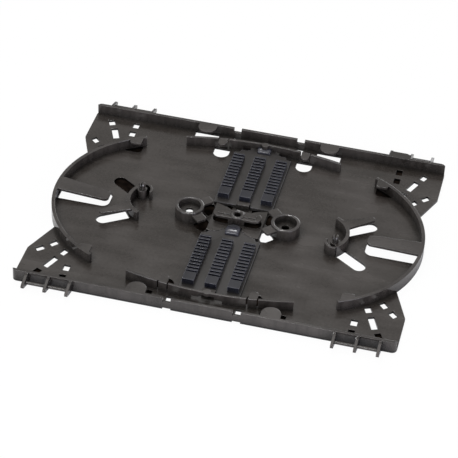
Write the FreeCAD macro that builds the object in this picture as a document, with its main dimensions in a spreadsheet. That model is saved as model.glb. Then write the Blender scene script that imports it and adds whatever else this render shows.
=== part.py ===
import FreeCAD, Part
import math
import os
import Sketcher
from FreeCAD import Placement, Rotation, Vector

# Fibre splice tray, millimetres. The origin is the centre of the tray on its underside,
# X runs along the long walls, Y runs towards the rear wall, Z is up.
sizes = [
    # floor and outline
    ("floor_thick", "1.2"),
    ("wall_rise", "5.2"),
    ("wall_thick", "1.5"),
    ("half_length", "92.6"),
    ("half_width", "71.5"),
    ("corner_round", "2.5"),
    ("ear_corner", "47.5"),
    ("ear_round", "3.0"),
    ("ear_foot", "28.6"),
    # round end walls
    ("bend_centre", "37.1"),
    ("bend_radius", "55.8"),
    ("bend_wall", "1.7"),
    ("bend_end", "60.6"),
    # curved guide walls behind the long walls
    ("guide_crest", "62.0"),
    ("guide_radius", "162.5"),
    ("guide_wall", "1.2"),
    ("guide_half", "40.8"),
    ("guide_slit", "0.7"),
    ("window_half", "7.6"),
    ("window_gap", "0.5"),
    ("nub_radius", "1.8"),
    # retaining tabs, all at the height of the walls
    ("tab_thick", "1.2"),
    ("wall_tab_place", "32.4"),
    ("wall_tab_half", "4.8"),
    ("wall_tab_reach", "7.0"),
    ("wall_hole_half", "6.3"),
    ("wall_hole_depth", "8.4"),
    ("guide_tab_place", "21.75"),
    ("guide_tab_half", "2.1"),
    ("guide_tab_reach", "5.0"),
    ("guide_hole_half", "4.1"),
    ("guide_hole_depth", "7.8"),
    ("bend_tab_place", "64.4"),
    ("bend_tab_half", "3.0"),
    ("bend_tab_tip", "42.9"),
    ("bend_hole_inner", "61.4"),
    ("bend_hole_outer", "69.6"),
    ("bend_hole_near", "42.2"),
    # long fingers across the ends
    ("finger_tip", "65.4"),
    ("finger_root_half", "5.0"),
    ("finger_tip_half", "3.7"),
    ("finger_tip_round", "2.4"),
    ("finger_slot_half", "6.0"),
    ("finger_slot_tip", "64.8"),
    ("finger_slot_round", "3.6"),
    ("left_finger_sag", "2.8"),
    ("right_finger_sag", "0.3"),
    # snap notches in the long walls
    ("notch_place", "16.8"),
    ("notch_half", "2.0"),
    ("notch_depth", "2.3"),
    ("foot_notch_rise", "0.8"),
    ("notch_hole_half", "1.85"),
    ("notch_hole_near", "63.4"),
    # spools
    ("spool_centre", "41.2"),
    ("spool_shift", "0.5"),
    ("spool_radius", "15.0"),
    ("spool_wall", "1.8"),
    ("spool_start", "63"),
    ("spool_stop", "-44"),
    ("pin_place", "50.5"),
    ("pin_shift", "6.7"),
    ("post_radius", "2.4"),
    ("pin_radius", "1.5"),
    ("pin_rise", "3.6"),
    ("pin_head", "1.1"),
    ("pin_slot", "0.7"),
    ("pin_barb", "0.35"),
    ("pin_foot", "0.3"),
    ("shield_radius", "5.3"),
    ("shield_wall", "1.2"),
    ("spool_axis", "34.5"),
    ("spool_slot_tip", "64.2"),
    ("spool_slot_place", "15.8"),
    ("spool_slot_half", "3.4"),
    ("spool_slot_length", "12.8"),
    ("spool_tab_half", "3.3"),
    ("spool_tab_tip", "1.6"),
    ("spool_tab_length", "14.6"),
    # hub between the spools
    ("boss_place", "24.3"),
    ("boss_radius", "7.2"),
    ("boss_rise", "5.84"),
    ("boss_recess", "5.55"),
    ("boss_depth", "3.2"),
    ("boss_web", "1.2"),
    ("screw_hole", "1.95"),
    ("boss_tab_half", "2.7"),
    ("boss_tab_length", "12.6"),
    ("plateau_rise", "1.4"),
    ("hub_half_x", "4.0"),
    ("hub_half_y", "3.2"),
    ("ring_radius", "3.7"),
    ("ring_rise", "0.25"),
    ("bore_radius", "1.7"),
    ("bore_mouth", "2.3"),
    ("mouth_depth", "0.9"),
    ("bar_tip", "12.0"),
    ("bar_half", "3.2"),
    ("bar_ridge_half", "1.25"),
    ("bar_ridge_rise", "0.35"),
    ("bar_slot_tip", "12.3"),
    # cable tie slots of the ears
    ("tie_width", "3.2"),
    ("tie_length", "4.3"),
    ("tie_long", "8.8"),
    # hinge lugs and rods on the outside of the long walls
    ("lug_inset", "29.1"),
    ("lug_pitch", "10.7"),
    ("lug_thick", "1.4"),
    ("lug_tip_reach", "6.4"),
    ("lug_tip_radius", "1.2"),
    ("rod_radius", "0.85"),
    ("rod_reach", "3.8"),
    ("rod_level", "3.3"),
    ("web_reach", "3.4"),
    # splice holders
    ("holder_half", "14.8"),
    ("holder_shift", "69.6"),
    ("holder_front", "12.2"),
    ("holder_rear", "58.35"),
    ("comb_pitch", "11.05"),
    ("comb_width", "5.7"),
    ("comb_rise", "4.9"),
    ("comb_front", "15.3"),
    ("comb_rear", "50.3"),
    ("groove_count", "12"),
    ("groove_pitch", "2.445"),
    ("groove_width", "1.3"),
    ("groove_depth", "3.0"),
    ("groove_first", "48.6"),
    ("clip_half", "3.5"),
    ("clip_front", "58.6"),
    ("clip_rear", "64.4"),
    ("clip_rise", "2.9"),
    ("catch_half", "3.2"),
    ("catch_front", "11.0"),
    ("catch_deep", "2.8"),
    ("fit_gap", "0.3"),
]

doc = FreeCAD.newDocument("SpliceTray")
sheet = doc.addObject("Spreadsheet::Sheet", "dims")
for row, (alias, number) in enumerate(sizes, start=1):
    sheet.set("A%d" % row, alias)
    sheet.set("B%d" % row, number)
    sheet.setAlias("B%d" % row, alias)
doc.recompute()


def size(alias):
    return float(sheet.get(alias))


fit_gap = size("fit_gap")
floor_top = size("floor_thick")
wall_top = floor_top + size("wall_rise")
half_length = size("half_length")
half_width = size("half_width")
wall_inner = half_width - size("wall_thick")
bend_inset = size("bend_wall")


def bend_y(x, inset=0.0):
    """Distance from the centre line to the round end wall's outer face, less an inset."""
    reach = x - size("bend_centre")
    return math.sqrt(max((size("bend_radius") - inset) ** 2 - reach ** 2, 0.0))


def guide_y(x, inset=0.0):
    radius = size("guide_radius")
    centre = size("guide_crest") - radius
    return centre + math.sqrt((radius - inset) ** 2 - x ** 2)


def path(nodes):
    """Closed outline; a node is (x, y), (x, y, rounding) or (x, y, 0, point on the arc to the next)."""
    full = [tuple(n) + (0, None)[len(n) - 2:] if len(n) < 4 else tuple(n) for n in nodes]
    count = len(full)
    starts, ends, pieces = [], [], []
    for i, (x, y, rounding, via) in enumerate(full):
        here = Vector(x, y, 0)
        starts.append(here)
        ends.append(here)
        pieces.append(None)
        if rounding:
            before = Vector(full[i - 1][0], full[i - 1][1], 0) - here
            after = Vector(full[(i + 1) % count][0], full[(i + 1) % count][1], 0) - here
            before.normalize()
            after.normalize()
            half = before.getAngle(after) / 2
            run = rounding / math.tan(half)
            middle = (before + after).normalize()
            centre = here + middle * (rounding / math.sin(half))
            starts[i] = here + before * run
            ends[i] = here + after * run
            pieces[i] = Part.Arc(starts[i], centre - middle * rounding, ends[i])
    outline = []
    for i in range(count):
        if pieces[i] is not None:
            outline.append(pieces[i])
        a = ends[i]
        b = starts[(i + 1) % count]
        via = full[i][3]
        if via is not None:
            outline.append(Part.Arc(a, Vector(via[0], via[1], 0), b))
        elif a.distanceToPoint(b) > 1e-6:
            outline.append(Part.LineSegment(a, b))
    return outline


def circle(x, y, alias):
    """Circle whose radius is a value of the sheet."""
    return (x, y, alias)


def pair(alias, place):
    """The same circle on both sides of the centre."""
    return [circle(place, 0, alias), circle(-place, 0, alias)]


def sector(cx, cy, outer, inner, start, stop):
    """Part of a ring between two angles in degrees, start below stop."""
    a, b = math.radians(start), math.radians(stop)
    m = (a + b) / 2

    def at(radius, angle):
        return (cx + radius * math.cos(angle), cy + radius * math.sin(angle))

    return path([at(outer, a) + (0, at(outer, m)), at(outer, b),
                 at(inner, b) + (0, at(inner, m)), at(inner, a)])


def mirrored(nodes, sx, sy):
    out = []
    for n in nodes:
        via = n[3] if len(n) > 3 else None
        out.append((n[0] * sx, n[1] * sy, n[2] if len(n) > 2 else 0,
                    (via[0] * sx, via[1] * sy) if via else None))
    return out


def four_ways(nodes):
    """The same outline in all four quarters of the tray."""
    return [path(mirrored(nodes, sx, sy)) for sx in (1, -1) for sy in (1, -1)]


def turned(nodes, cx, cy, angle):
    """Local outline turned by an angle in degrees and moved to a centre."""
    c, s = math.cos(math.radians(angle)), math.sin(math.radians(angle))
    out = []
    for n in nodes:
        via = n[3] if len(n) > 3 else None
        if via:
            via = (cx + via[0] * c - via[1] * s, cy + via[0] * s + via[1] * c)
        out.append((cx + n[0] * c - n[1] * s, cy + n[0] * s + n[1] * c,
                    n[2] if len(n) > 2 else 0, via))
    return out


def plane(body, role):
    return [f for f in body.Origin.OriginFeatures if f.Role == role][0]


def sketch(body, name, loops, level="0", role="XY_Plane", turn=None):
    """Sketch on one of the body's own planes; its level and its circles follow the sheet."""
    drawing = body.newObject("Sketcher::SketchObject", name)
    drawing.AttachmentSupport = (plane(body, role), [""])
    drawing.MapMode = "FlatFace"
    if turn is not None:
        drawing.AttachmentOffset = turn
    else:
        drawing.setExpression("AttachmentOffset.Base.z", level)
    for loop in loops:
        if isinstance(loop, tuple):
            x, y, alias = loop
            place = drawing.addGeometry(Part.Circle(Vector(x, y, 0), Vector(0, 0, 1), size(alias)), False)
            rule = drawing.addConstraint(Sketcher.Constraint("Radius", place, size(alias)))
            drawing.setExpression("Constraints[%d]" % rule, "dims." + alias)
        else:
            drawing.addGeometry(loop, False)
    return drawing


def pad(body, name, loops, level, length, role="XY_Plane", middle=False, turn=None, taper=0):
    drawing = sketch(body, name + "_outline", loops, level, role, turn)
    feature = body.newObject("PartDesign::Pad", name)
    feature.Profile = drawing
    feature.Refine = False
    feature.setExpression("Length", length)
    if middle:
        feature.Midplane = True
    if taper:
        feature.TaperAngle = taper
    return feature


def pocket(body, name, loops, level, length):
    """Cut downwards from a level."""
    drawing = sketch(body, name + "_outline", loops, level)
    feature = body.newObject("PartDesign::Pocket", name)
    feature.Profile = drawing
    feature.Refine = False
    feature.setExpression("Length", length)
    return feature


def part_body(name):
    body = doc.addObject("PartDesign::Body", name)
    body.AllowCompound = True
    return body


# the tray moulding is made in portions that are joined at the end
floor_body = part_body("tray_floor")
wall_body = part_body("tray_walls")
hub_body = part_body("tray_hub")
tab_body = part_body("tray_tabs")
pin_body = part_body("tray_pins")
lug_body = part_body("tray_lugs")

# openings of the floor under every tab, so that the tray leaves its mould
tab = size("wall_tab_place")
hole = size("wall_hole_half")
hole_y = wall_inner - size("wall_hole_depth")
openings = four_ways([(tab - hole, hole_y), (tab + hole, hole_y),
                      (tab + hole, wall_inner - 0.4), (tab - hole, wall_inner - 0.4)])
tab = size("guide_tab_place")
hole = size("guide_hole_half")
hole_top = guide_y(tab + hole, size("guide_wall")) - 0.3
hole_low = hole_top - size("guide_hole_depth") + hole
openings += four_ways([(tab - hole, hole_low, 0, (tab, hole_low - hole)), (tab + hole, hole_low),
                       (tab + hole, hole_top), (tab - hole, hole_top)])
near = size("bend_hole_near")
inner = size("bend_hole_inner")
outer = size("bend_hole_outer")
openings += four_ways([(inner, near, 1.8), (outer, near, 0.6),
                       (outer, bend_y(outer, bend_inset + 0.1)),
                       (inner, bend_y(inner, bend_inset + 0.1))])
slot = size("finger_slot_half")
slot_root = size("bend_centre") + math.sqrt((size("bend_radius") - bend_inset - 0.1) ** 2 - slot ** 2)
for sign in (1, -1):
    openings.append(path(mirrored([
        (size("finger_slot_tip"), -slot, size("finger_slot_round")), (slot_root, -slot),
        (slot_root, slot), (size("finger_slot_tip"), slot, size("finger_slot_round"))], sign, 1)))
slot = size("spool_slot_half")
spool_angle = size("spool_axis")
axis_x = size("spool_slot_tip") - size("spool_slot_length") * math.cos(math.radians(spool_angle))
axis_y = size("spool_slot_place") - size("spool_slot_length") * math.sin(math.radians(spool_angle))
openings += four_ways(turned([(0, -slot), (size("spool_slot_length"), -slot, 0,
                                                (size("spool_slot_length") + slot, 0)),
                              (size("spool_slot_length"), slot), (0, slot)],
                             axis_x, axis_y, spool_angle))
notch_hole = size("notch_hole_half")
notch = size("notch_place")
openings += four_ways([(notch - notch_hole, size("notch_hole_near")),
                       (notch + notch_hole, size("notch_hole_near")),
                       (notch + notch_hole, wall_inner - 0.1), (notch - notch_hole, wall_inner - 0.1)])
# slots under the tabs of the bosses, their nodes in shares of the boss radius from its centre
boss = size("boss_place")
boss_slot = [(-1.28, 0.19), (-1.51, 0.47), (-1.51, 1.28, 0.2), (-1.35, 1.56, 0.14), (-1.01, 1.51), (-0.54, 1.01),
             (-0.79, 0.63)]
openings += four_ways([(boss + n[0] * size("boss_radius"), n[1] * size("boss_radius"))
                       + tuple(r * size("boss_radius") for r in n[2:]) for n in boss_slot])
# gaps between the raised hub and the splice holders, wide ones at the rear and narrow ones in front
for sign in (1, -1):
    openings.append(path(mirrored([(4.9, 8.2), (7.0, 9.6), (12.4, 11.95), (12.4, 12.9), (4.9, 12.9)], sign, 1)))
    openings.append(path(mirrored([(5.2, 8.7), (6.4, 10.3), (9.0, 11.5), (12.6, 11.6), (12.6, 12.9), (5.2, 12.9)],
                                  sign, -1)))
# cable tie slots of the ears: place, length and turn; two of them follow the round wall
width = size("tie_width")
length = size("tie_length")
ties = [(half_length - 9.8, half_width - 8.0, length, 64), (half_length - 22.6, half_width - 7.0, length, 90),
        (half_length - 22.6, half_width - 14.5, length, 90),
        (half_length - 14.1, half_width - 16.6, size("tie_long"), 67),
        (half_length - 6.0, size("ear_corner") - 1.2, length, 42)]
for along, off_wall, angle in ((42.8, 4.4, 48), (50.8, 3.6, 66)):
    reach = size("bend_radius") + off_wall
    ties.append((size("bend_centre") + reach * math.cos(math.radians(along)),
                 reach * math.sin(math.radians(along)), length, angle))
for x, y, length, angle in ties:
    openings += four_ways(turned([(-length / 2, -width / 2), (length / 2, -width / 2),
                                  (length / 2, width / 2), (-length / 2, width / 2)], x, y, angle))
# sight holes beside the rear ends of the splice holders
for sign in (1, -1):
    openings.append(path(mirrored([(12.9, 56.9), (14.3, 56.9), (14.3, 59.1), (12.9, 59.1)],
                                  sign, sign)))
# openings under the bars of the hub
bar_slots = []
for sign in (1, -1):
    reach = size("bar_half") + 0.2
    bar_slots.append(path(mirrored([(size("hub_half_x"), -reach), (size("bar_slot_tip"), -reach, reach - 0.2),
                                    (size("bar_slot_tip"), reach, reach - 0.2),
                                    (size("hub_half_x"), reach)], sign, 1)))
bore = [circle(0, 0, "bore_radius")]
boss_recesses = pair("boss_recess", boss)

ear_foot = size("ear_foot")
ear_x = size("bend_centre") + math.sqrt(size("bend_radius") ** 2 - ear_foot ** 2)
bend_tip = size("bend_centre") + size("bend_radius")
corner = size("corner_round")
ear = size("ear_corner")
floor_y = wall_inner + 0.2
floor_x = half_length - corner + math.sqrt(corner ** 2 - (floor_y - half_width + corner) ** 2)
outline = path([
    (-floor_x, -floor_y), (floor_x, -floor_y), (half_length, -half_width + corner),
    (half_length, -ear, size("ear_round")), (ear_x, -ear_foot, 0, (bend_tip, 0)), (ear_x, ear_foot),
    (half_length, ear, size("ear_round")), (half_length, half_width - corner), (floor_x, floor_y),
    (-floor_x, floor_y), (-half_length, half_width - corner), (-half_length, ear, size("ear_round")),
    (-ear_x, ear_foot, 0, (-bend_tip, 0)), (-ear_x, -ear_foot),
    (-half_length, -ear, size("ear_round")), (-half_length, -half_width + corner)])
pad(floor_body, "floor", [outline] + openings + bar_slots + boss_recesses + bore, "0", "dims.floor_thick")

# hinge lugs with their rods: one long bracket on each side, opened into bays
lug_root = half_width - size("wall_thick") / 2
tip_y = half_width + size("lug_tip_reach")
tip_z = wall_top / 2
tip_r = size("lug_tip_radius")
lug_first = half_length - size("lug_inset")


def lug_outline(sign):
    nodes = [(lug_root, 0.1), (half_width + 1.8, 0.5), (tip_y, tip_z - tip_r), (tip_y + tip_r, tip_z - tip_r / 2),
             (tip_y + tip_r, tip_z + tip_r / 2), (tip_y, tip_z + tip_r), (half_width + 1.8, wall_top - 0.5),
             (lug_root, wall_top - 0.1)]
    return path(mirrored(nodes, sign, 1))


bays = []
bay_half = size("lug_pitch") / 2 - size("lug_thick") / 2
for number in range(2):
    middle = lug_first + (number + 0.5) * size("lug_pitch")
    bays += four_ways([(middle - bay_half, half_width), (middle + bay_half, half_width),
                       (middle + bay_half, tip_y + 3), (middle - bay_half, tip_y + 3)])
for side_name, sign in (("right", 1), ("left", -1)):
    pad(lug_body, "lugs_" + side_name, [lug_outline(1), lug_outline(-1)],
        "%d * (dims.half_length - dims.lug_inset + dims.lug_pitch)" % sign, "2 * dims.lug_pitch + dims.lug_thick",
        role="YZ_Plane", middle=True)
pocket(lug_body, "lug_bays", bays, "dims.floor_thick + dims.wall_rise", "dims.floor_thick + dims.wall_rise")
for side_name, sign in (("right", 1), ("left", -1)):
    rods = [circle(y_sign * (half_width + size("rod_reach")), size("rod_level"), "rod_radius")
            for y_sign in (1, -1)]
    pad(lug_body, "rods_" + side_name, rods, "%d * (dims.half_length - dims.lug_inset + dims.lug_pitch)" % sign,
        "2 * dims.lug_pitch", role="YZ_Plane", middle=True)
web_a = lug_first
web_b = web_a + size("lug_pitch")
web_y = half_width + size("web_reach")
web = path([(web_a, half_width - 0.5), (web_b, half_width - 0.5), (web_b, web_y - 0.6), (web_b - 1.2, web_y - 0.6),
            (web_b - 2.2, web_y), (web_a, web_y)])
pad(lug_body, "hinge_web", [web], "dims.floor_thick + dims.wall_rise - dims.tab_thick", "dims.tab_thick")

# raised middle of the hub, level with the bridges of the splice holders, with a seat for their clips
seat = size("clip_half") + fit_gap
seat_end = size("holder_shift") - size("clip_rear") - fit_gap
front_side = [(seat, seat_end), (seat, 7.6), (4.8, 7.6), (6.4, 9.6, 1.0), (9.0, 10.9, 1.5), (13.1, 10.95)]
rear_side = [(seat, seat_end), (seat, 7.6), (4.8, 7.6), (7.1, 9.3), (13.1, 11.9)]
front_right = mirrored(front_side, 1, -1)
rear_right = mirrored(rear_side, 1, 1)[::-1]
rear_left = mirrored(rear_side, -1, 1)
front_left = mirrored(front_side, -1, -1)[::-1]
pad(floor_body, "hub_plateau", [path(front_right + rear_right + rear_left + front_left)] + bar_slots + bore,
    "dims.floor_thick", "dims.plateau_rise")

# every wall of full height: long walls, round end walls, guide walls, spools, pin shields and posts
end_x = half_length - corner + math.sqrt(corner ** 2 - (corner - size("wall_thick")) ** 2)
turn_x = half_length - corner + corner * math.sin(math.radians(35))
turn_y = half_width - corner + corner * math.cos(math.radians(35))
long_wall = [(-end_x, wall_inner), (end_x, wall_inner, 0, (turn_x, turn_y)), (half_length - corner, half_width),
             (corner - half_length, half_width, 0, (-turn_x, turn_y))]
walls = [path(long_wall), path(mirrored(long_wall, 1, -1))]
end_angle = math.degrees(math.acos((size("bend_end") - size("bend_centre")) / size("bend_radius")))
bend_inner = size("bend_radius") - bend_inset
walls.append(sector(size("bend_centre"), 0, size("bend_radius"), bend_inner, -end_angle, end_angle))
walls.append(sector(-size("bend_centre"), 0, size("bend_radius"), bend_inner, 180 - end_angle, 180 + end_angle))
guide_centre = size("guide_crest") - size("guide_radius")
guide_inner = size("guide_radius") - size("guide_wall")


def guide_angle(x):
    return math.degrees(math.asin(x / size("guide_radius")))


slit_in = size("guide_tab_place") - size("guide_tab_half")
slit_out = size("guide_tab_place") + size("guide_tab_half")
slit = size("guide_slit")
for low, high in ((-size("guide_half"), -slit_out - slit), (-slit_out, -slit_in), (slit - slit_in, slit_in - slit),
                  (slit_in, slit_out), (slit_out + slit, size("guide_half"))):
    walls.append(sector(0, guide_centre, size("guide_radius"), guide_inner,
                        90 - guide_angle(high), 90 - guide_angle(low)))
    walls.append(sector(0, -guide_centre, size("guide_radius"), guide_inner,
                        270 + guide_angle(low), 270 + guide_angle(high)))
posts = []
for sign, half_turn in ((1, 0), (-1, 180)):
    px, py = sign * size("pin_place"), -sign * size("pin_shift")
    walls.append(sector(sign * size("spool_centre"), -sign * size("spool_shift"), size("spool_radius"),
                        size("spool_radius") - size("spool_wall"),
                        size("spool_stop") + half_turn, size("spool_start") + half_turn))
    walls.append(sector(px, py, size("shield_radius"), size("shield_radius") - size("shield_wall"),
                        165 + half_turn, 283 + half_turn))
    walls.append(circle(px, py, "post_radius"))
    posts.append((px, py))
hub_x, hub_y = size("hub_half_x"), size("hub_half_y")
walls.append(path([(-hub_x, -hub_y), (hub_x, -hub_y), (hub_x, hub_y), (-hub_x, hub_y)]))
pad(wall_body, "full_walls", walls + bore, "0", "dims.floor_thick + dims.wall_rise")

# the guide walls are open at the foot, where the tongue and the clip of a splice holder pass
low = size("guide_crest") - size("guide_wall") - 1.0
high = size("guide_crest") + 1.0


def window(half):
    return [path([(-half, sign * low), (half, sign * low), (half, sign * high), (-half, sign * high)])
            for sign in (1, -1)]


pocket(wall_body, "tongue_windows", window(size("window_half")),
       "dims.floor_thick + dims.plateau_rise + dims.window_gap", "dims.plateau_rise + dims.window_gap")
pocket(wall_body, "clip_windows", window(size("clip_half") + fit_gap),
       "dims.floor_thick + dims.clip_rise + dims.window_gap", "dims.clip_rise + dims.window_gap")
# notches snap the trays of a stack together
notch_half = size("notch_half")
notches = four_ways([(notch - notch_half, wall_inner - 0.6), (notch + notch_half, wall_inner - 0.6),
                     (notch + notch_half, half_width + 1), (notch - notch_half, half_width + 1)])
pocket(wall_body, "wall_notches", notches, "dims.floor_thick + dims.wall_rise", "dims.notch_depth")
foot_notches = four_ways([(notch - notch_half, wall_inner + 0.2), (notch + notch_half, wall_inner + 0.2),
                          (notch + notch_half, half_width + 1), (notch - notch_half, half_width + 1)])
pocket(wall_body, "foot_notches", foot_notches, "dims.foot_notch_rise", "dims.foot_notch_rise")

# round retaining tabs of the long walls and small ones of the guide walls
tab = size("wall_tab_place")
half = size("wall_tab_half")
tip = wall_inner - size("wall_tab_reach")
tabs = four_ways([(tab + half, wall_inner + 0.5), (tab - half, wall_inner + 0.5),
                  (tab - half, tip + half, 0, (tab, tip)), (tab + half, tip + half)])
tab = size("guide_tab_place")
half = size("guide_tab_half")
root = guide_y(tab + half, size("guide_wall") / 2)
tip = guide_y(tab, size("guide_wall")) - size("guide_tab_reach")
tabs += four_ways([(tab + half, root), (tab - half, root),
                   (tab - half, tip + half, 0, (tab, tip)), (tab + half, tip + half)])
# tabs near the ends of the round walls
tab = size("bend_tab_place")
half = size("bend_tab_half")
tip = size("bend_tab_tip")
tabs += four_ways([(tab + half, bend_y(tab + half, bend_inset / 2)),
                   (tab - half, bend_y(tab - half, bend_inset / 2)),
                   (tab - half, tip, 0.9), (tab + half, tip, 0.9)])
# tabs of the bosses, aslant towards the hub
reach = size("boss_tab_length")
half = size("boss_tab_half")
tabs += four_ways(turned([(size("boss_recess") + 0.8, -half), (reach, -half, 1.2), (reach, half, 1.2),
                          (size("boss_recess") + 0.8, half)], boss, 0, 134))
# tapered tabs from inside the round wall of each spool, over one of its two slots
reach = size("spool_tab_length") - size("spool_tab_tip")
wide = size("spool_tab_half")
slim = size("spool_tab_tip")
spool_tab = turned([(-1.5, -wide), (reach, -slim, 0, (reach + slim, 0)), (reach, slim), (-1.5, wide)],
                   axis_x, axis_y, spool_angle)
tabs += [path(mirrored(spool_tab, sign, sign)) for sign in (1, -1)]
# bars of the hub over their openings
bar = size("bar_half")
for sign in (1, -1):
    tabs.append(path(mirrored([(hub_x - 0.5, -bar), (size("bar_tip"), -bar, bar - 0.4),
                               (size("bar_tip"), bar, bar - 0.4), (hub_x - 0.5, bar)], sign, 1)))
pad(hub_body, "bosses", pair("boss_radius", boss) + boss_recesses, "0", "dims.floor_thick + dims.boss_rise")
pad(tab_body, "retaining_tabs", tabs, "dims.floor_thick + dims.wall_rise - dims.tab_thick", "dims.tab_thick")
ridges = []
ridge = size("bar_ridge_half")
for sign in (1, -1):
    ridges.append(path(mirrored([(hub_x - 0.5, -ridge), (size("bar_tip") - 2.4, -ridge),
                                 (size("bar_tip") - 2.4, ridge), (hub_x - 0.5, ridge)], sign, 1)))
pad(hub_body, "hub_ridges", ridges, "dims.floor_thick + dims.wall_rise", "dims.bar_ridge_rise")
pad(hub_body, "hub_ring", [circle(0, 0, "ring_radius")] + bore, "dims.floor_thick",
    "dims.wall_rise + dims.ring_rise")
pocket(hub_body, "hub_bore_mouth", [circle(0, 0, "bore_mouth")], "dims.floor_thick + dims.wall_rise + dims.ring_rise",
       "dims.mouth_depth")
pad(hub_body, "boss_webs", pair("boss_recess", boss) + pair("screw_hole", boss),
    "dims.floor_thick + dims.boss_rise - dims.boss_depth - dims.boss_web", "dims.boss_web")

# long fingers over the end slots; a finger may sag towards its tip
root_in = size("bend_centre") + math.sqrt((bend_inner + 0.6) ** 2 - size("finger_root_half") ** 2)
span = root_in - size("finger_tip")
for side_name, sign in (("right", 1), ("left", -1)):
    sag = math.degrees(math.atan2(size(side_name + "_finger_sag"), span))
    shape = [(-span, -size("finger_tip_half"), size("finger_tip_round")), (0, -size("finger_root_half")),
             (0, size("finger_root_half")), (-span, size("finger_tip_half"), size("finger_tip_round"))]
    turn = Placement(Vector(sign * root_in, 0, wall_top - size("tab_thick")),
                     Rotation(Vector(0, 1, 0), -sign * sag))
    pad(tab_body, "finger_" + side_name, [path(mirrored(shape, sign, 1))], "0", "dims.tab_thick", turn=turn)


# split pins on the posts, each with a barbed head and a slot across
pin_top = "dims.floor_thick + dims.wall_rise + dims.pin_rise"
pad(pin_body, "pin_shafts", [circle(px, py, "pin_radius") for px, py in posts],
    "dims.floor_thick + dims.wall_rise - dims.pin_foot", "dims.pin_rise - dims.pin_head + dims.pin_foot")
for side_name, (px, py) in zip(("right", "left"), posts):
    head = pin_body.newObject("PartDesign::AdditiveCone", "pin_head_" + side_name)
    head.AttachmentSupport = (plane(pin_body, "XY_Plane"), [""])
    head.MapMode = "FlatFace"
    head.AttachmentOffset = Placement(Vector(px, py, 0), Rotation())
    head.setExpression("AttachmentOffset.Base.z", pin_top + " - dims.pin_head")
    head.setExpression("Radius1", "dims.pin_radius + dims.pin_barb")
    head.setExpression("Radius2", "dims.pin_radius - dims.pin_barb / 2")
    head.setExpression("Height", "dims.pin_head")
    head.Refine = False
gap = size("pin_slot") / 2
wide = size("pin_radius") + size("pin_barb") + 0.1
pin_slots = [path([(px - gap, py - wide), (px + gap, py - wide), (px + gap, py + wide), (px - gap, py + wide)])
             for px, py in posts]
pocket(pin_body, "pin_slots", pin_slots, pin_top, "dims.pin_rise")

# half-round nubs in the middle of the guide walls
nub_y = size("guide_crest") - size("guide_wall")
pad(wall_body, "guide_nubs", [circle(0, nub_y, "nub_radius"), circle(0, -nub_y, "nub_radius")],
    "dims.floor_thick + dims.clip_rise + dims.window_gap", "dims.wall_rise - dims.clip_rise - dims.window_gap")

# catches that hold the front edge of each splice holder
catch = size("catch_half")
catch_a = size("catch_front")
catch_b = catch_a + size("catch_deep")
catches = [path([(-catch, catch_a - shift), (catch, catch_a - shift), (catch, catch_b - shift),
                 (-catch, catch_b - shift)]) for shift in (0, size("holder_shift"))]
pad(pin_body, "holder_catches", catches, "dims.floor_thick / 2", "dims.floor_thick / 2 + dims.clip_rise")


tray = doc.addObject("Part::MultiFuse", "tray_moulding")
tray.Label = "tray_moulding"
tray.Shapes = [floor_body, wall_body, hub_body, tab_body, pin_body, lug_body]
tray.Refine = True


def splice_holder(name, shift):
    """Three grooved combs on a plate, with a round clip at the rear end."""
    body = doc.addObject("PartDesign::Body", name)
    body.Label = name
    wide = size("holder_half")
    front = size("holder_front") - shift
    rear = size("holder_rear") - shift
    notch_x = size("catch_half") + fit_gap
    notch_y = size("catch_front") + size("catch_deep") + fit_gap - shift
    nose = rear + 3.2
    plate = path([(-wide, front), (-notch_x, front), (-notch_x, notch_y), (notch_x, notch_y), (notch_x, front),
                  (wide, front), (wide, rear - 2.4), (12.4, rear - 2.0), (11.6, rear), (9.1, rear, 1.0),
                  (6.3, rear + 1.4), (5.0, nose), (-5.0, nose), (-6.3, rear + 1.4), (-9.1, rear, 1.0),
                  (-11.6, rear), (-12.4, rear - 2.0), (-wide, rear - 2.4)])
    pad(body, name + "_plate", [plate], "dims.floor_thick", "dims.plateau_rise")
    half = size("comb_width") / 2
    front_y = size("comb_front") - shift
    rear_y = size("comb_rear") - shift
    pitch = size("groove_pitch")
    open_half = size("groove_width") / 2
    count = int(size("groove_count"))
    grooves = [size("groove_first") - shift - i * pitch for i in range(count)]
    edges = [rear_y] + [edge for y in grooves for edge in (y + open_half, y - open_half)] + [front_y]
    bars = []
    ribs = []
    for column in (-1, 0, 1):
        x = column * size("comb_pitch")
        bars.append(path([(x - half, front_y), (x + half, front_y), (x + half, rear_y), (x - half, rear_y)]))
        for high_y, low_y in zip(edges[0::2], edges[1::2]):
            ribs.append(path([(x - half, low_y), (x + half, low_y), (x + half, high_y), (x - half, high_y)]))
    pad(body, name + "_bars", bars, "dims.floor_thick", "dims.comb_rise - dims.groove_depth")
    pad(body, name + "_ribs", ribs, "dims.floor_thick + dims.comb_rise - dims.groove_depth", "dims.groove_depth")
    width = size("clip_half")
    clip_front = size("clip_front") - shift
    clip_rear = size("clip_rear") - shift
    end = pad(body, name + "_clip", [path([(-width, clip_front), (width, clip_front),
                                           (width, clip_rear - width, 0, (0, clip_rear)),
                                           (-width, clip_rear - width)])],
              "dims.floor_thick", "dims.clip_rise")
    end.Refine = True
    return body


holders = [splice_holder("splice_holder_rear", 0.0), splice_holder("splice_holder_front", size("holder_shift"))]
doc.recompute()

parts = [tray] + holders
for thing in doc.Objects:
    if "Invalid" in thing.State or "Error" in thing.State:
        raise RuntimeError("%s did not build" % thing.Label)
for part in parts:
    shape = part.Shape
    if shape.isNull() or not shape.isValid():
        raise RuntimeError("%s has no valid shape" % part.Label)
    if len(shape.Solids) != 1:
        raise RuntimeError("%s has %d solids" % (part.Label, len(shape.Solids)))

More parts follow.
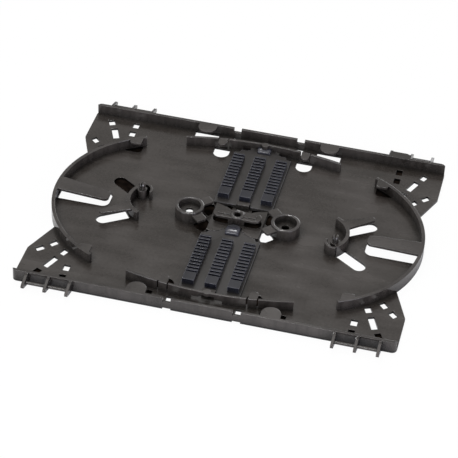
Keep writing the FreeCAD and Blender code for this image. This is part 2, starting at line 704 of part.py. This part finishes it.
os.makedirs("parts", exist_ok=True)
for part in parts:
    part.Shape.exportStep("parts/%s.step" % part.Label)
    box = part.Shape.BoundBox
    print("%s: %.1f x %.1f x %.1f mm, %.0f cubic mm" % (part.Label, box.XLength, box.YLength, box.ZLength,
                                                       part.Shape.Volume))
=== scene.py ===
import bpy, bmesh, math
from mathutils import Matrix, Vector


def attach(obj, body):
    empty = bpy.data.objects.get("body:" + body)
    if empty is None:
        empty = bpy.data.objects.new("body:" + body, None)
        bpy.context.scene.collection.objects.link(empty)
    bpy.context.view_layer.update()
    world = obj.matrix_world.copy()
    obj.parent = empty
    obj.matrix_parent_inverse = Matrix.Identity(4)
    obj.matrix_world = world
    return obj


# Fibre splice tray of charcoal plastic with two blue grey splice holders, on white
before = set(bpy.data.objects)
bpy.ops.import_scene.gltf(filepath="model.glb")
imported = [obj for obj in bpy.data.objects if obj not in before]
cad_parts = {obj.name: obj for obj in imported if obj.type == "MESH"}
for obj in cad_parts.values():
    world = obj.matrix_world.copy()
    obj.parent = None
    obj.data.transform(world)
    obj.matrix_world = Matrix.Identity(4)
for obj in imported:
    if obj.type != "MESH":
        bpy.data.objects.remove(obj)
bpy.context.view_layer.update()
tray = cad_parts["tray_moulding"]
holders = [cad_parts["splice_holder_rear"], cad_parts["splice_holder_front"]]
perMetre = 1000  # shapes and floor patches are written in millimetres
print("stage: frame loaded")

# camera at the photograph's angle
view = {"azimuth": 11.669, "elevation": 38.352, "roll": 3.197, "distance": 0.9934,
        "target": (0.0, 0.0, -0.0008), "lens": 158.1, "sensor": 36.0, "shift": (-0.01725, -0.0060),
        "clip": (0.05, 20.0)}


def makeCamera():
    data = bpy.data.cameras.new("trayCamera")
    data.lens = view["lens"]
    data.sensor_width = view["sensor"]
    data.shift_x, data.shift_y = view["shift"]
    data.clip_start, data.clip_end = view["clip"]
    a, e, r = (math.radians(view[k]) for k in ("azimuth", "elevation", "roll"))
    back = Vector((math.sin(a) * math.cos(e), -math.cos(a) * math.cos(e), math.sin(e)))
    side = Vector((math.cos(a), math.sin(a), 0.0))
    up = back.cross(side)
    right = side * math.cos(r) + up * math.sin(r)
    top = up * math.cos(r) - side * math.sin(r)
    camera = bpy.data.objects.new("trayCamera", data)
    bpy.context.scene.collection.objects.link(camera)
    turn = Matrix((right, top, back)).transposed().to_4x4()
    camera.matrix_world = Matrix.Translation(Vector(view["target"]) + back * view["distance"]) @ turn
    bpy.context.scene.camera = camera


makeCamera()
bpy.context.scene.view_settings.view_transform = "Standard"
print("stage: camera")

# soft studio light, aimed at the tray: a wide box above, low ones all round for the wall faces,
# a strip for the light lines on rods and edges, and a small lamp behind for glints
lamps = {
    "topBox": {"at": (-0.25, 0.05, 1.2), "size": 0.9, "power": 3.7, "tint": (1.0, 0.97, 0.94)},
    "frontBox": {"at": (-0.2, -1.25, 0.46), "size": 0.8, "power": 1.4, "tint": (1.0, 0.985, 0.97)},
    "sideBox": {"at": (1.0, -0.9, 0.40), "size": 0.7, "power": 11.5, "tint": (0.84, 0.84, 1.0)},
    "leftBox": {"at": (-1.1, -0.2, 0.6), "size": 0.6, "power": 0.8, "tint": (1.0, 1.0, 1.0)},
    "cornerBox": {"at": (-0.75, -1.15, 0.42), "size": 0.6, "power": 7.5, "tint": (0.86, 0.90, 1.0)},
    "backBox": {"at": (0.25, 1.3, 0.28), "size": 0.6, "power": 3.0, "tint": (1.0, 1.0, 1.0)},
    "edgeLamp": {"at": (-0.20, -0.75, 0.92), "size": 0.16, "wide": 0.46, "power": 3.2,
                 "tint": (1.0, 1.0, 1.0)},
    "glintLamp": {"at": (-0.12, 0.42, 0.75), "size": 0.07, "power": 1.2, "tint": (1.0, 1.0, 1.0)},
}


def makeLamps():
    for name, lamp in lamps.items():
        data = bpy.data.lights.new(name, "AREA")
        data.shape = "RECTANGLE"
        data.size, data.size_y = lamp.get("wide", lamp["size"]), lamp["size"]
        data.energy = lamp["power"]
        data.color = lamp["tint"]
        box = bpy.data.objects.new(name, data)
        bpy.context.scene.collection.objects.link(box)
        box.location = lamp["at"]
        box.rotation_euler = (-Vector(lamp["at"])).to_track_quat("-Z", "Y").to_euler()


# white to the camera; to the tray a grey horizon, a bright band half way up and a dimmer zenith
worldLight = {"strength": 0.66, "bandHeight": 0.6, "horizon": (0.40, 0.41, 0.45, 1),
              "band": (0.95, 0.93, 0.91, 1), "zenith": (0.55, 0.55, 0.55, 1), "seen": (1, 1, 1, 1)}


def nodeSet(owner):
    owner.use_nodes = True
    tree = owner.node_tree
    tree.nodes.clear()
    return tree


def makeWorld():
    world = bpy.data.worlds.new("studio")
    bpy.context.scene.world = world
    tree = nodeSet(world)
    out = tree.nodes.new("ShaderNodeOutputWorld")
    seen = tree.nodes.new("ShaderNodeBackground")
    seen.inputs["Color"].default_value = worldLight["seen"]
    lit = tree.nodes.new("ShaderNodeBackground")
    lit.inputs["Strength"].default_value = worldLight["strength"]
    place = tree.nodes.new("ShaderNodeTexCoord")
    split = tree.nodes.new("ShaderNodeSeparateXYZ")
    sky = tree.nodes.new("ShaderNodeValToRGB")
    sky.color_ramp.elements[0].color = worldLight["horizon"]
    sky.color_ramp.elements[1].color = worldLight["zenith"]
    sky.color_ramp.elements.new(worldLight["bandHeight"]).color = worldLight["band"]
    path = tree.nodes.new("ShaderNodeLightPath")
    mix = tree.nodes.new("ShaderNodeMixShader")
    tree.links.new(place.outputs["Generated"], split.inputs[0])
    tree.links.new(split.outputs["Z"], sky.inputs["Fac"])
    tree.links.new(sky.outputs["Color"], lit.inputs["Color"])
    tree.links.new(path.outputs["Is Camera Ray"], mix.inputs["Fac"])
    tree.links.new(lit.outputs[0], mix.inputs[1])
    tree.links.new(seen.outputs[0], mix.inputs[2])
    tree.links.new(mix.outputs[0], out.inputs["Surface"])


makeLamps()
makeWorld()

# pale floor: white to the camera, with a faint contact shadow from the share that is lit
floorLook = {"size": 3.0, "level": -0.0002, "glow": 1.0, "white": (1, 1, 1, 1), "body": (0.82, 0.82, 0.82, 1),
             "share": 0.05}


def makeFloor():
    half = floorLook["size"] / 2
    mesh = bpy.data.meshes.new("whiteFloor")
    corners = [(-half, -half, 0), (half, -half, 0), (half, half, 0), (-half, half, 0)]
    mesh.from_pydata(corners, [], [(0, 1, 2, 3)])
    floor = bpy.data.objects.new("whiteFloor", mesh)
    floor.location.z = floorLook["level"]
    bpy.context.scene.collection.objects.link(floor)
    mat = bpy.data.materials.new("whiteFloor")
    tree = nodeSet(mat)
    out = tree.nodes.new("ShaderNodeOutputMaterial")
    body = tree.nodes.new("ShaderNodeBsdfDiffuse")
    body.inputs["Color"].default_value = floorLook["body"]
    glow = tree.nodes.new("ShaderNodeEmission")
    glow.inputs["Color"].default_value = floorLook["white"]
    glow.inputs["Strength"].default_value = floorLook["glow"]
    path = tree.nodes.new("ShaderNodeLightPath")
    mixed = tree.nodes.new("ShaderNodeMixShader")
    mixed.inputs["Fac"].default_value = floorLook["share"]
    pick = tree.nodes.new("ShaderNodeMixShader")
    tree.links.new(glow.outputs[0], mixed.inputs[1])
    tree.links.new(body.outputs[0], mixed.inputs[2])
    tree.links.new(path.outputs["Is Camera Ray"], pick.inputs["Fac"])
    tree.links.new(body.outputs[0], pick.inputs[1])
    tree.links.new(mixed.outputs[0], pick.inputs[2])
    tree.links.new(pick.outputs[0], out.inputs["Surface"])
    mesh.materials.append(mat)


makeFloor()

# the deep shade on the floor under the tray, where it shows through holes that let no light in
shade = {"level": -0.00014, "dark": (0.004, 0.003, 0.0025, 1), "light": (0.018, 0.013, 0.010, 1),
         "scale": 160.0, "stops": (0.35, 0.7)}
# corners of each patch in millimetres
shadeSpots = [
    [(-13.3, -13.6), (13.3, -13.6), (13.3, 14.5), (-13.3, 14.5)],  # bar slots, bore and gaps of the hub
    [(13.35, 0.8), (21.2, 0.8), (21.2, 13.2), (13.35, 13.2)],  # boss slots
    [(-21.2, 0.8), (-13.35, 0.8), (-13.35, 13.2), (-21.2, 13.2)],
    [(-21.2, -12.2), (-13.35, -12.2), (-13.35, 0.7), (-21.2, 0.7)],
    [(21.4, -3.4), (27.4, -3.4), (27.4, 8.0), (21.4, 8.0)],  # right boss
    [(-50.6, 11.9), (-55.4, 4.8), (-70.4, 15.0), (-65.5, 23.0)],  # spool slot
    [(60.2, 41.0), (70.9, 41.0), (70.9, 51.6), (60.2, 51.6)],  # under the tabs of the round walls
    [(-70.9, 41.0), (-60.2, 41.0), (-60.2, 51.6), (-70.9, 51.6)],
    [(-70.9, -50.9), (-60.2, -50.9), (-60.2, -40.0), (-70.9, -40.0)],
    [(60.2, -50.9), (70.9, -50.9), (70.9, -40.0), (60.2, -40.0)],
    [(67.6, 54.2), (72.4, 54.2), (72.4, 67.8), (67.6, 67.8)],  # two tie slots at the rear
    [(67.4, -69.9), (72.6, -69.9), (72.6, -61.0), (67.4, -61.0)],  # tie slots at the front
    [(-72.6, -69.9), (-67.4, -69.9), (-67.4, -61.0), (-72.6, -61.0)],
    [(79.6, -69.9), (86.0, -69.9), (86.0, -59.8), (79.6, -59.8)],
    [(-86.0, -69.9), (-79.6, -69.9), (-79.6, -59.8), (-86.0, -59.8)],
    [(25.4, -70.9), (39.4, -70.9), (39.4, -60.8), (25.4, -60.8)],  # front wall holes
    [(-39.4, -70.9), (-25.4, -70.9), (-25.4, -60.8), (-39.4, -60.8)],
    [(16.4, -60.75), (27.4, -60.75), (27.4, -49.6), (16.4, -49.6)],  # front guide holes
    [(-27.4, -60.75), (-16.4, -60.75), (-16.4, -49.6), (-27.4, -49.6)],
    [(-15.9, -60.4), (-11.2, -60.4), (-11.2, -54.6), (-15.9, -54.6)],  # sight hole
]


def makeShade():
    mesh = bpy.data.meshes.new("shadeUnderTray")
    form = bmesh.new()
    for spot in shadeSpots:
        form.faces.new([form.verts.new((x / perMetre, y / perMetre, shade["level"])) for x, y in spot])
    form.to_mesh(mesh)
    form.free()
    under = bpy.data.objects.new("shadeUnderTray", mesh)
    bpy.context.scene.collection.objects.link(under)
    mat = bpy.data.materials.new("shadeUnderTray")
    tree = nodeSet(mat)
    out = tree.nodes.new("ShaderNodeOutputMaterial")
    body = tree.nodes.new("ShaderNodeBsdfDiffuse")
    place = tree.nodes.new("ShaderNodeTexCoord")
    cloud = tree.nodes.new("ShaderNodeTexNoise")
    cloud.inputs["Scale"].default_value = shade["scale"]
    tone = tree.nodes.new("ShaderNodeValToRGB")
    for stop, at, colour in zip(tone.color_ramp.elements, shade["stops"], (shade["dark"], shade["light"])):
        stop.position, stop.color = at, colour
    tree.links.new(place.outputs["Object"], cloud.inputs["Vector"])
    tree.links.new(cloud.outputs["Fac"], tone.inputs["Fac"])
    tree.links.new(tone.outputs["Color"], body.inputs["Color"])
    tree.links.new(body.outputs[0], out.inputs["Surface"])
    mesh.materials.append(mat)


makeShade()
print("stage: studio")

# what all the moulded plastics share; pairs are the ends of a change, lengths in metres
moulding = {
    "toneStops": (0.36, 0.64),  # where in the clouds the dark and the light tone are reached
    "steep": (0.97, 0.50),  # upward share of a face's direction, from flat to steep
    "corner": (0.35, 0.90),  # openness in the depth of a corner and out of it
    "standsOut": (0.62, 0.80),  # openness at an edge that is rounded, painted lighter as wear and highlight
    "edgeTurn": (0.99, 0.80),  # how far the rounding turns a face, from no painted wear and highlight to the full amount
    "holeTop": (0.00118, 0.00105),  # just under the upper face of the tray's floor
    "hinge": (0.0720, 0.0726),  # outside the long walls
    "dragStops": (0.35, 0.65), "dragStretch": (1.0, 1.0, 0.03),  # drag marks run up and down
    "bumpDepth": 0.00005, "edgeSamples": 6, "cornerSamples": 8, "detail": 2.0, "fleckDetail": 1.0,
}


# moulded plastic: cloudy patches, streaks and flecks in tone and gloss, fine grain, a tone for each height,
# drag marks on steep faces, painted shade in corners and on hole sides, and rounded edges painted lighter as
# wear and highlight
def mouldedPlastic(name, look):
    mat = bpy.data.materials.new(name)
    tree = nodeSet(mat)
    new, link = tree.nodes.new, tree.links.new

    def feed(socket, source):  # a link, or a plain number or colour
        if isinstance(source, bpy.types.NodeSocket):
            link(source, socket)
        else:
            socket.default_value = source

    def noise(vector, scale, detail=moulding["detail"], bend=0.0):
        node = new("ShaderNodeTexNoise")
        node.inputs["Scale"].default_value = scale
        node.inputs["Detail"].default_value = detail
        node.inputs["Distortion"].default_value = bend
        link(vector, node.inputs["Vector"])
        return node.outputs["Fac"]

    def change(value, ends, results=(0.0, 1.0)):
        node = new("ShaderNodeMapRange")
        for socket, number in zip(("From Min", "From Max", "To Min", "To Max"), (*ends, *results)):
            node.inputs[socket].default_value = number
        link(value, node.inputs["Value"])
        return node.outputs["Result"]

    def blend(kind, factor, a, b):
        node = new("ShaderNodeMix")
        node.data_type = kind
        first, result = {"FLOAT": (2, 0), "VECTOR": (4, 1), "RGBA": (6, 2)}[kind]  # sockets of each kind
        feed(node.inputs[0], factor)
        feed(node.inputs[first], a)
        feed(node.inputs[first + 1], b)
        return node.outputs[result]

    def maths(operation, a, b=0.0):
        node = new("ShaderNodeMath")
        node.operation = operation
        feed(node.inputs[0], a)
        feed(node.inputs[1], b)
        return node.outputs[0]

    def tones(value, colours):
        node = new("ShaderNodeValToRGB")
        for stop, at, colour in zip(node.color_ramp.elements, moulding["toneStops"], colours):
            stop.position, stop.color = at, colour
        link(value, node.inputs["Fac"])
        return node.outputs["Color"]

    def parts(vector):
        node = new("ShaderNodeSeparateXYZ")
        link(vector, node.inputs[0])
        return node.outputs

    def stretched(vector, scale):
        node = new("ShaderNodeMapping")
        node.inputs["Scale"].default_value = scale
        link(vector, node.inputs["Vector"])
        return node.outputs[0]

    out = new("ShaderNodeOutputMaterial")
    skin = new("ShaderNodeBsdfPrincipled")
    skin.inputs["IOR"].default_value = look["ior"]
    skin.inputs["Specular IOR Level"].default_value = look["shine"]
    spot = new("ShaderNodeTexCoord").outputs["Object"]
    facing = new("ShaderNodeNewGeometry").outputs["Normal"]
    height = parts(spot)["Z"]
    steep = change(maths("ABSOLUTE", parts(facing)["Z"]), moulding["steep"])

    # patches where the melt flowed, streaks drawn out along the tray, and small flecks
    flow = noise(spot, look["flowScale"], bend=look["flowBend"])
    streak = noise(stretched(spot, look["streak"]), look["streakScale"])
    melt = blend("FLOAT", look["streakShare"], flow, streak)
    fleck = noise(spot, look["fleckScale"], moulding["fleckDetail"])
    clouds = blend("FLOAT", look["fleckShare"], melt, fleck)
    raised = change(height, look["rise"])
    tone = blend("RGBA", raised, tones(clouds, look["lower"]), tones(clouds, look["upper"]))

    # faces that slid along the mould are glossier, and the hinge lugs and rods are rubbed bright
    rough = blend("FLOAT", steep, change(melt, moulding["toneStops"], look["rough"]), look["steepRough"])
    hinge = change(maths("ABSOLUTE", parts(spot)["Y"]), moulding["hinge"])
    link(blend("FLOAT", hinge, rough, look["hingeRough"]), skin.inputs["Roughness"])

    # painted shade in the corners and on the sides of holes in the floor, drag marks down the steep faces
    corner = new("ShaderNodeAmbientOcclusion")
    corner.samples = moulding["cornerSamples"]
    corner.inputs["Distance"].default_value = look["cornerReach"]
    # painted shade: the colour is darkened where a corner is closed in
    cornerShade = change(corner.outputs["AO"], moulding["corner"], (look["cornerShadeTone"], 1.0))
    # painted shade on the sides of holes, below the upper face of the tray's floor
    holeSideShade = maths("MULTIPLY", change(height, moulding["holeTop"], (0.0, look["holeShadeStrength"])), steep)
    drag = noise(stretched(spot, moulding["dragStretch"]), look["dragScale"])
    marks = blend("FLOAT", steep, 1.0, change(drag, moulding["dragStops"], look["drag"]))
    darker = new("ShaderNodeVectorMath")
    darker.operation = "SCALE"
    shading = maths("MULTIPLY", maths("MULTIPLY", cornerShade, maths("SUBTRACT", 1.0, holeSideShade)), marks)
    link(tone, darker.inputs[0])
    link(shading, darker.inputs["Scale"])

    # edges that stand out are rounded, and painted lighter as wear and as a highlight
    soft = new("ShaderNodeBevel")
    soft.samples = moulding["edgeSamples"]
    soft.inputs["Radius"].default_value = look["edgeRoundReach"]
    outer = change(corner.outputs["AO"], moulding["standsOut"])
    turn = new("ShaderNodeVectorMath")
    turn.operation = "DOT_PRODUCT"
    link(soft.outputs["Normal"], turn.inputs[0])
    link(facing, turn.inputs[1])
    rounded = change(turn.outputs["Value"], moulding["edgeTurn"], (0.0, look["wearAndHighlightShare"]))
    wearAndHighlight = maths("MULTIPLY", rounded, outer)
    # painted highlight and wear: a lighter colour on rounded outer edges
    link(blend("RGBA", wearAndHighlight, darker.outputs["Vector"], look["wearAndHighlight"]), skin.inputs["Base Color"])

    # fine grain of the mould's skin
    bump = new("ShaderNodeBump")
    bump.inputs["Strength"].default_value = look["bump"]
    bump.inputs["Distance"].default_value = moulding["bumpDepth"]
    link(noise(spot, look["grainScale"]), bump.inputs["Height"])
    link(blend("VECTOR", outer, facing, soft.outputs["Normal"]), bump.inputs["Normal"])
    link(bump.outputs["Normal"], skin.inputs["Normal"])
    link(skin.outputs[0], out.inputs["Surface"])
    return mat


charcoal = {
    "lower": [(0.0185, 0.0155, 0.0130, 1), (0.0430, 0.0375, 0.0335, 1)],
    "upper": [(0.0185, 0.0160, 0.0140, 1), (0.0430, 0.0380, 0.0345, 1)], "rise": (0.0013, 0.0020),
    "rough": (0.16, 0.30), "steepRough": 0.15, "hingeRough": 0.09, "ior": 1.5, "shine": 0.5,
    "flowScale": 40.0, "flowBend": 0.3, "streak": (1.0, 5.0, 1.0), "streakScale": 22.0, "streakShare": 0.5,
    "fleckScale": 700.0, "fleckShare": 0.22, "grainScale": 2600.0, "bump": 0.10,
    "dragScale": 300.0, "drag": (0.78, 1.24), "cornerReach": 0.006, "cornerShadeTone": 0.24, "holeShadeStrength": 0.8,
    "edgeRoundReach": 0.0005, "wearAndHighlight": (0.085, 0.080, 0.078, 1), "wearAndHighlightShare": 0.5}
blueGrey = {
    "lower": [(0.024, 0.0220, 0.0210, 1), (0.040, 0.0375, 0.0360, 1)],
    "upper": [(0.0058, 0.0061, 0.0090, 1), (0.0116, 0.0121, 0.0170, 1)], "rise": (0.0027, 0.0036),
    "rough": (0.26, 0.38), "steepRough": 0.20, "hingeRough": 0.20, "ior": 1.5, "shine": 0.34,
    "flowScale": 60.0, "flowBend": 0.2, "streak": (1.0, 1.0, 1.0), "streakScale": 90.0, "streakShare": 0.4,
    "fleckScale": 900.0, "fleckShare": 0.2, "grainScale": 2600.0, "bump": 0.10,
    "dragScale": 400.0, "drag": (0.7, 1.3), "cornerReach": 0.0015, "cornerShadeTone": 0.6, "holeShadeStrength": 0.3,
    "edgeRoundReach": 0.00028, "wearAndHighlight": (0.20, 0.205, 0.23, 1), "wearAndHighlightShare": 0.8}


def finishNode(node, mat):
    node.data.materials.clear()
    node.data.materials.append(mat)
    for face in node.data.polygons:
        face.material_index = 0


trayPlastic = mouldedPlastic("charcoalPlastic", charcoal)
holderPlastic = mouldedPlastic("blueGreyPlastic", blueGrey)
finishNode(tray, trayPlastic)
for holder in holders:
    finishNode(holder, holderPlastic)
print("stage: plastic")


def addPiece(name, form, mat):
    mesh = bpy.data.meshes.new(name)
    form.to_mesh(mesh)
    form.free()
    for face in mesh.polygons:
        face.use_smooth = True
    mesh.materials.append(mat)
    piece = bpy.data.objects.new(name, mesh)
    bpy.context.scene.collection.objects.link(piece)
    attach(piece, "root")
    return piece


# turned lips round the mouth of the hub's bore and on the two bosses, glossier, with a lighter colour painted
# on as a highlight
# a profile's pairs are radius and height, in millimetres
hubProfile = [(2.06, 5.85), (2.06, 6.62), (2.2, 6.9), (2.5, 7.06), (2.95, 7.04), (3.3, 6.86), (3.52, 6.6),
              (3.58, 6.36)]
bossProfile = [(5.57, 6.4), (5.57, 6.92), (5.72, 7.12), (6.05, 7.22), (6.5, 7.22), (6.95, 7.12), (7.16, 6.92),
               (7.22, 6.5)]
lips = {
    "hubLip": {"x": 0.0, "steps": 56, "profile": hubProfile},
    "bossLipRight": {"x": 24.3, "steps": 88, "profile": bossProfile},
    "bossLipLeft": {"x": -24.3, "steps": 88, "profile": bossProfile},
}
# painted highlight: the lips' lighter colour
lipWithSheen = dict(charcoal, rough=(0.13, 0.2), steepRough=0.1, shine=0.6, cornerReach=0.001,
              upper=[(0.026, 0.0235, 0.0215, 1), (0.050, 0.0455, 0.0425, 1)])
lipPlastic = mouldedPlastic("lipPaintedSheen", lipWithSheen)


def makeLip(name, lip):
    form = bmesh.new()
    rings = []
    for i in range(lip["steps"]):
        turn = 2 * math.pi * i / lip["steps"]
        ring = []
        for r, z in lip["profile"]:
            x = lip["x"] + r * math.cos(turn)
            y = r * math.sin(turn)
            ring.append(form.verts.new((x / perMetre, y / perMetre, z / perMetre)))
        rings.append(ring)
    for i, ring in enumerate(rings):
        after = rings[(i + 1) % len(rings)]
        for j in range(len(ring) - 1):
            form.faces.new((ring[j], ring[j + 1], after[j + 1], after[j]))
    bmesh.ops.recalc_face_normals(form, faces=form.faces)
    addPiece(name, form, lipPlastic)


for name, lip in lips.items():
    makeLip(name, lip)

# bent strip over the clip of each holder, glossier, with a lighter colour painted on as a highlight;
# millimetres
clipCap = {
    "section": [(0.0, 2.55), (-0.1, 3.1), (0.15, 3.7), (0.8, 4.25), (1.9, 4.6), (3.2, 4.6), (4.4, 4.35),
                (5.3, 4.0), (5.9, 3.4)],  # place behind the strip's front edge, and height
    "half": 3.45, "front": 57.5, "shift": 69.6,  # half width, front edge, and way to the front holder
    "ends": [(0.0, 0.75), (0.15, 0.25), (0.5, 0.0)],  # inwards from each end, and how rounded it is there
    "tuck": 0.35, "sink": 0.45, "middle": 2.0,  # how far the ends draw in and down, about this place
    "least": 2.55, "smoothing": 1,  # lowest point, just inside the top of the holder's plate
}
# painted highlight: the strip's lighter colour
clipWithSheen = dict(blueGrey, rise=(0.0010, 0.0012), upper=[(0.016, 0.0165, 0.024, 1), (0.030, 0.031, 0.041, 1)],
                rough=(0.14, 0.24), steepRough=0.2, shine=0.5)
capPlastic = mouldedPlastic("clipPaintedSheen", clipWithSheen)


def makeClipCap(name, shift):
    form = bmesh.new()
    ends = [(clipCap["half"] - inwards, drop) for inwards, drop in clipCap["ends"]]
    rows = []
    for x, drop in [(-x, drop) for x, drop in ends] + ends[::-1]:
        row = []
        for y, z in clipCap["section"]:
            y += clipCap["tuck"] * (drop if y < clipCap["middle"] else -drop)
            y = clipCap["front"] + y - shift
            z = max(clipCap["least"], z - drop * clipCap["sink"])
            row.append(form.verts.new((x / perMetre, y / perMetre, z / perMetre)))
        rows.append(row)
    for a, b in zip(rows, rows[1:]):
        for j in range(len(a) - 1):
            form.faces.new((a[j], b[j], b[j + 1], a[j + 1]))
    form.faces.new(rows[0])
    form.faces.new(rows[-1][::-1])
    bmesh.ops.recalc_face_normals(form, faces=form.faces)
    piece = addPiece(name, form, capPlastic)
    smooth = piece.modifiers.new("smooth", "SUBSURF")
    smooth.levels = smooth.render_levels = clipCap["smoothing"]


makeClipCap("clipCapRear", 0.0)
makeClipCap("clipCapFront", clipCap["shift"])
print("stage: lips and clips")
